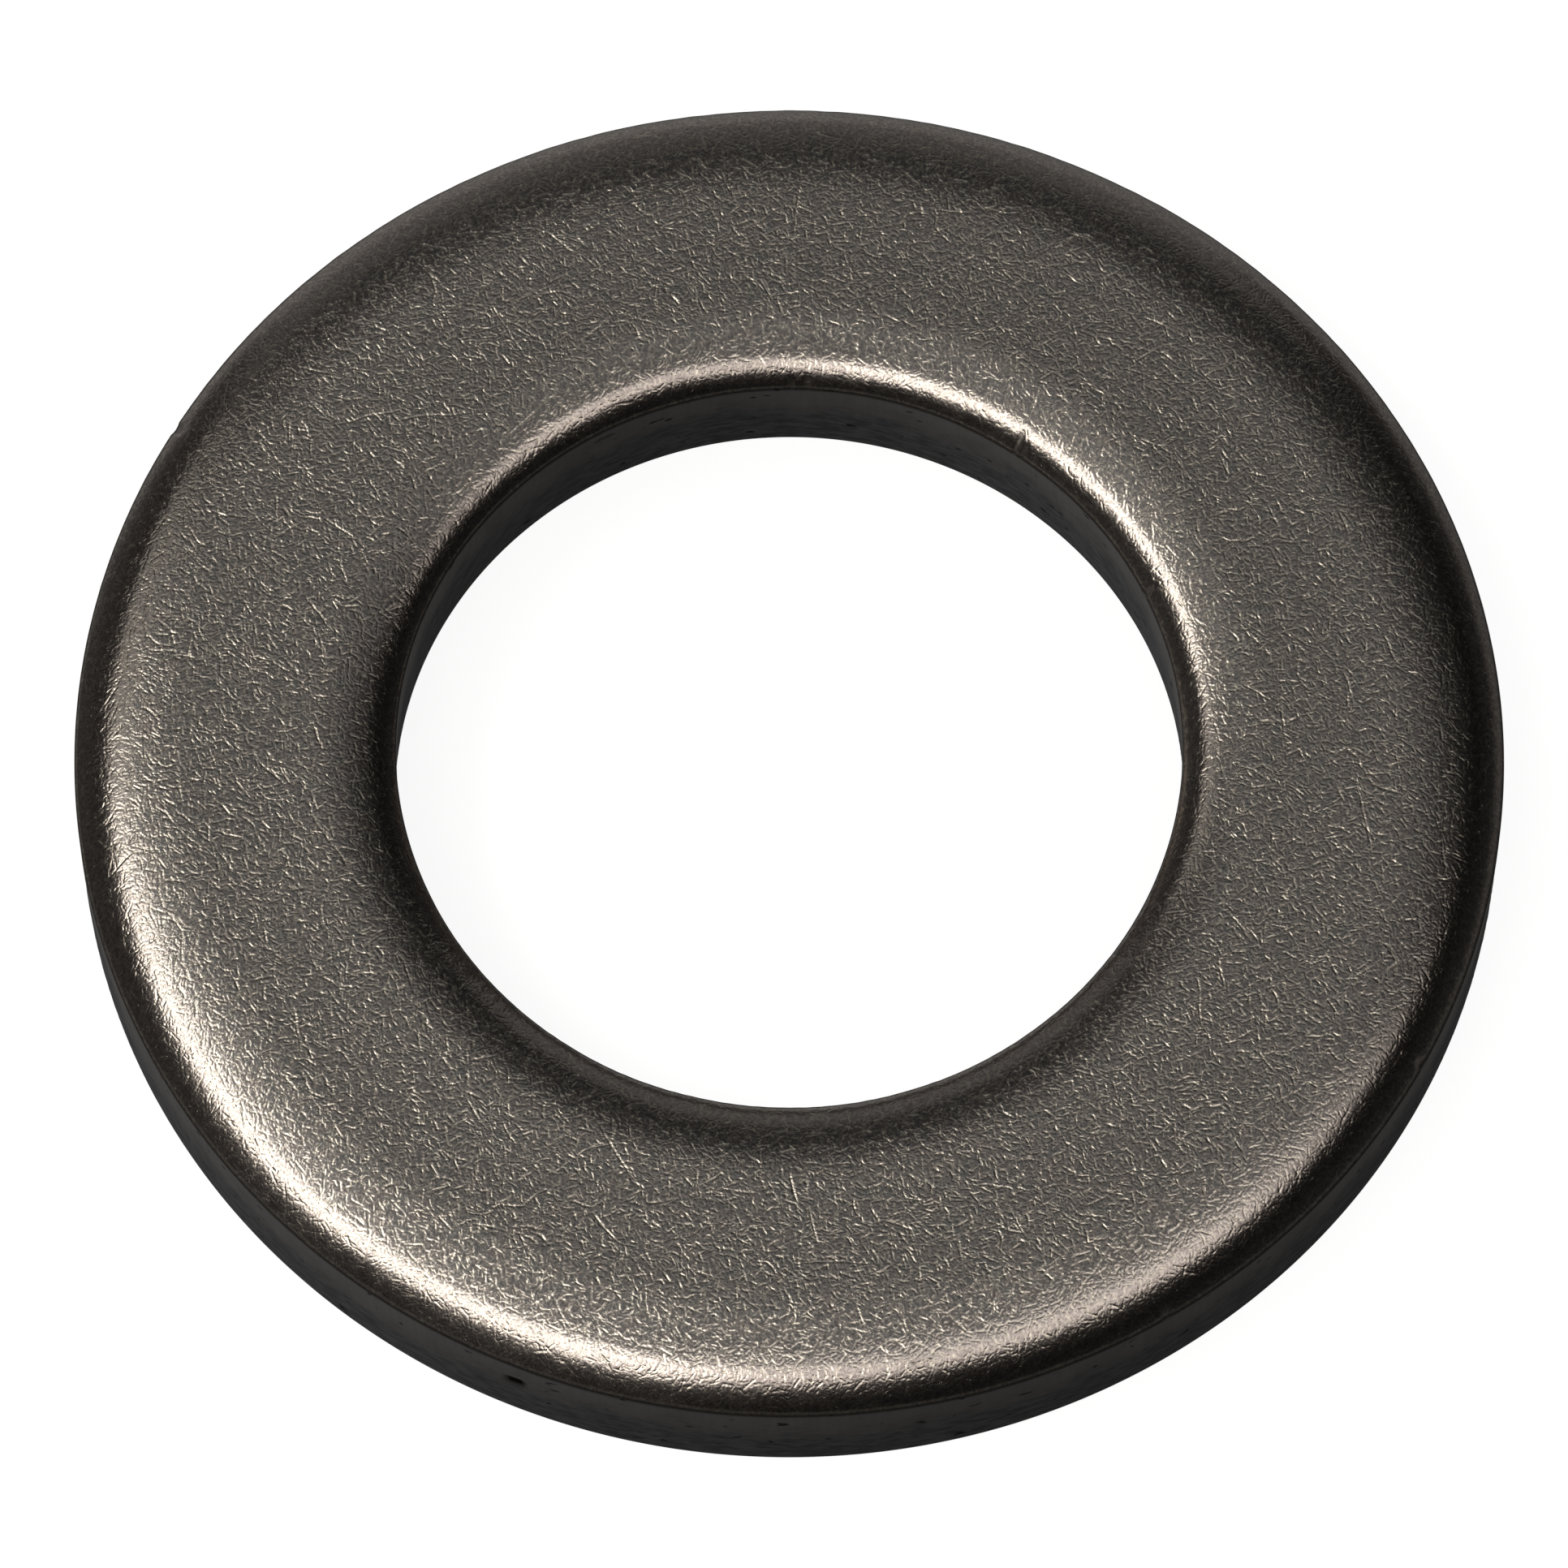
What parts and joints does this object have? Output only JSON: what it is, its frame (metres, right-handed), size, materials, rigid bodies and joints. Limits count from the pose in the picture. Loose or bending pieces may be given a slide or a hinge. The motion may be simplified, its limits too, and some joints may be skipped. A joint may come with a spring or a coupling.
{
  "type": "flat washer",
  "caption": "Plain round washer for an M12 screw, stamped from satin stainless sheet, with rolled edges on its top face and a clearance hole through its middle.",
  "frame": {"origin": "centre of the bore on the flat bottom face", "axes": "+Z along the bore, from the flat bottom face to the top face with the rolled edges; +X and +Y are any two square radii, because the ring is round"},
  "size_m": [0.024, 0.024, 0.0026],
  "materials": {
    "steel": "tumbled satin stainless steel, dark and slightly warm, with fine random scratches"
  },
  "bodies": {
    "root": {"washer": "steel"}
  },
  "joints": []
}
